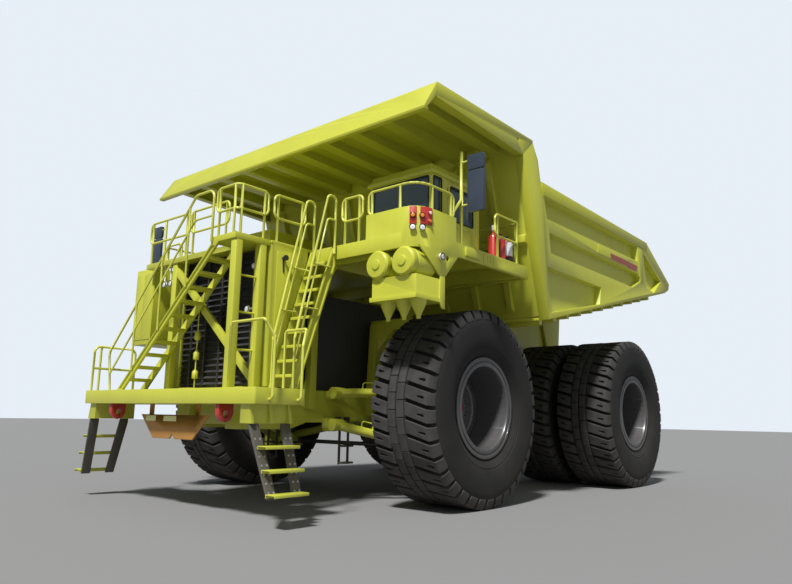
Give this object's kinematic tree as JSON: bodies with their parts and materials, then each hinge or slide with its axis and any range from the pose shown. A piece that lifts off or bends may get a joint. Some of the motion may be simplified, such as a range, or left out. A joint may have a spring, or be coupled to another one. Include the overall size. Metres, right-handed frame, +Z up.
{
  "type": "rigid mining dump truck with electric drive",
  "caption": "Rigid rear-dump mining truck with a canopied load body, a cab on the left deck, boarding stairs at the front, steered front wheels and twin rear wheels.",
  "frame": {"origin": "on the ground under the middle of the truck's length and width", "axes": "+Z up, the front looks along -Y, the cab side is +X"},
  "size_m": [8.6, 13.358, 7.181],
  "materials": {
    "lime_paint": "semi-gloss",
    "rail_paint": "semi-gloss",
    "red_paint": "gloss",
    "orange_plate": "satin",
    "black_grille": "satin",
    "engine_iron": "rough",
    "belt_rubber": "matte",
    "window_glass": "clear tinted",
    "seat_fabric": "woven",
    "mirror_housing": "gloss",
    "grid_steel": "satin",
    "lamp_lens": "clear",
    "axle_iron": "satin",
    "strut_steel": "satin",
    "rim_paint": "satin",
    "tyre_rubber": "matte",
    "hoist_chrome": "polished"
  },
  "bodies": {
    "chassis": {"frame": "lime_paint", "front_bumper": "lime_paint", "tow_hooks": "red_paint", "nose_plate": "orange_plate", "radiator": "black_grille", "hood": "lime_paint", "engine_block": "engine_iron", "radiator_guard": "lime_paint", "front_stair": "lime_paint", "side_stair": "lime_paint", "ladder_belts": "belt_rubber", "ladder_steps": "lime_paint", "deck_left": "lime_paint", "deck_right": "lime_paint", "handrails": "rail_paint", "cab_shell": "lime_paint", "cab_roof": "lime_paint", "cab_glass": "window_glass", "cab_seat": "seat_fabric", "mirrors": "mirror_housing", "air_cleaners": "lime_paint", "deck_cabinets": "lime_paint", "resistor_grid": "grid_steel", "lamp_cluster": "red_paint", "headlamps": "lamp_lens", "extinguishers": "red_paint", "tanks": "lime_paint", "rear_axle": "axle_iron", "struts": "strut_steel", "front_arms": "lime_paint", "deck_posts": "lime_paint", "hoist_crosstube": "strut_steel", "stair_rails": "rail_paint", "bumper_rails": "rail_paint", "service_steps": "belt_rubber"},
    "cab_door": {"cab_door": "lime_paint", "door_glass": "window_glass"},
    "knuckle_left": {"knuckle_left": "lime_paint"},
    "knuckle_right": {"knuckle_right": "lime_paint"},
    "tie_rod": {"tie_rod": "strut_steel"},
    "wheel_front_left": {"rim_front_left": "rim_paint", "tyre_front_left": "tyre_rubber"},
    "wheel_front_right": {"rim_front_right": "rim_paint", "tyre_front_right": "tyre_rubber"},
    "wheels_rear_left": {"rims_rear_left": "rim_paint", "tyres_rear_left": "tyre_rubber"},
    "wheels_rear_right": {"rims_rear_right": "rim_paint", "tyres_rear_right": "tyre_rubber"},
    "dump_body": {"body_floor": "lime_paint", "body_bolsters": "lime_paint", "body_sides": "lime_paint", "headboard": "lime_paint", "canopy": "lime_paint"},
    "hoist_tube_left": {"hoist_tube_left": "strut_steel"},
    "hoist_stage_left": {"hoist_stage_left": "hoist_chrome"},
    "hoist_rod_left": {"hoist_rod_left": "hoist_chrome"},
    "hoist_tube_right": {"hoist_tube_right": "strut_steel"},
    "hoist_stage_right": {"hoist_stage_right": "hoist_chrome"},
    "hoist_rod_right": {"hoist_rod_right": "hoist_chrome"}
  },
  "joints": [
    {"name": "cab_door_hinge", "type": "hinge", "parent": "chassis", "child": "cab_door", "pos_m": [3.516, -3.323, 5.2], "axis": [0, 0, -1], "range_deg": [0, 70]},
    {"name": "steer_left", "type": "hinge", "parent": "chassis", "child": "knuckle_left", "pos_m": [2.2, -2.296, 1.55], "axis": [0, 0, 1], "range_deg": [-30, 30]},
    {"name": "steer_right", "type": "hinge", "parent": "chassis", "child": "knuckle_right", "pos_m": [-2.2, -2.296, 1.55], "axis": [0, 0, 1], "range_deg": [-30, 30]},
    {"name": "tie_rod_pivot", "type": "hinge", "parent": "knuckle_left", "child": "tie_rod", "pos_m": [2.2, -1.546, 0.975], "axis": [0, 0, 1], "range_deg": [-30, 30]},
    {"name": "spin_front_left", "type": "hinge", "parent": "knuckle_left", "child": "wheel_front_left", "pos_m": [3.03, -2.296, 1.77], "axis": [1, 0, 0], "continuous": true},
    {"name": "spin_front_right", "type": "hinge", "parent": "knuckle_right", "child": "wheel_front_right", "pos_m": [-3.03, -2.296, 1.77], "axis": [1, 0, 0], "continuous": true},
    {"name": "spin_rear_left", "type": "hinge", "parent": "chassis", "child": "wheels_rear_left", "pos_m": [3.3, 3.984, 1.77], "axis": [1, 0, 0], "continuous": true},
    {"name": "spin_rear_right", "type": "hinge", "parent": "chassis", "child": "wheels_rear_right", "pos_m": [-3.3, 3.984, 1.77], "axis": [1, 0, 0], "continuous": true},
    {"name": "bed_hinge", "type": "hinge", "parent": "chassis", "child": "dump_body", "pos_m": [0, 5.354, 3], "axis": [-1, 0, 0], "range_deg": [0, 45]},
    {"name": "hoist_pivot_left", "type": "hinge", "parent": "chassis", "child": "hoist_tube_left", "pos_m": [1.3, 1.504, 1.5], "axis": [-1, 0, 0], "range_deg": [0, 21.8]},
    {"name": "hoist_stage_slide_left", "type": "slide", "parent": "hoist_tube_left", "child": "hoist_stage_left", "axis": [0, -0.0948, 0.9955], "range_m": [0, 1.4647]},
    {"name": "hoist_rod_slide_left", "type": "slide", "parent": "hoist_stage_left", "child": "hoist_rod_left", "axis": [0, -0.0948, 0.9955], "range_m": [0, 1.4647]},
    {"name": "hoist_pivot_right", "type": "hinge", "parent": "chassis", "child": "hoist_tube_right", "pos_m": [-1.3, 1.504, 1.5], "axis": [-1, 0, 0], "range_deg": [0, 21.8]},
    {"name": "hoist_stage_slide_right", "type": "slide", "parent": "hoist_tube_right", "child": "hoist_stage_right", "axis": [0, -0.0948, 0.9955], "range_m": [0, 1.4647]},
    {"name": "hoist_rod_slide_right", "type": "slide", "parent": "hoist_stage_right", "child": "hoist_rod_right", "axis": [0, -0.0948, 0.9955], "range_m": [0, 1.4647]}
  ],
  "couplings": [
    {"joint": "steer_right", "follows": "steer_left", "ratio": 1},
    {"joint": "tie_rod_pivot", "follows": "steer_left", "ratio": -1},
    {"joint": "hoist_pivot_left", "follows": "bed_hinge", "ratio": 0.4843},
    {"joint": "hoist_stage_slide_left", "follows": "bed_hinge", "m_per_rad": 1.8646},
    {"joint": "hoist_rod_slide_left", "follows": "bed_hinge", "m_per_rad": 1.8646},
    {"joint": "hoist_pivot_right", "follows": "bed_hinge", "ratio": 0.4843},
    {"joint": "hoist_stage_slide_right", "follows": "bed_hinge", "m_per_rad": 1.8646},
    {"joint": "hoist_rod_slide_right", "follows": "bed_hinge", "m_per_rad": 1.8646}
  ]
}
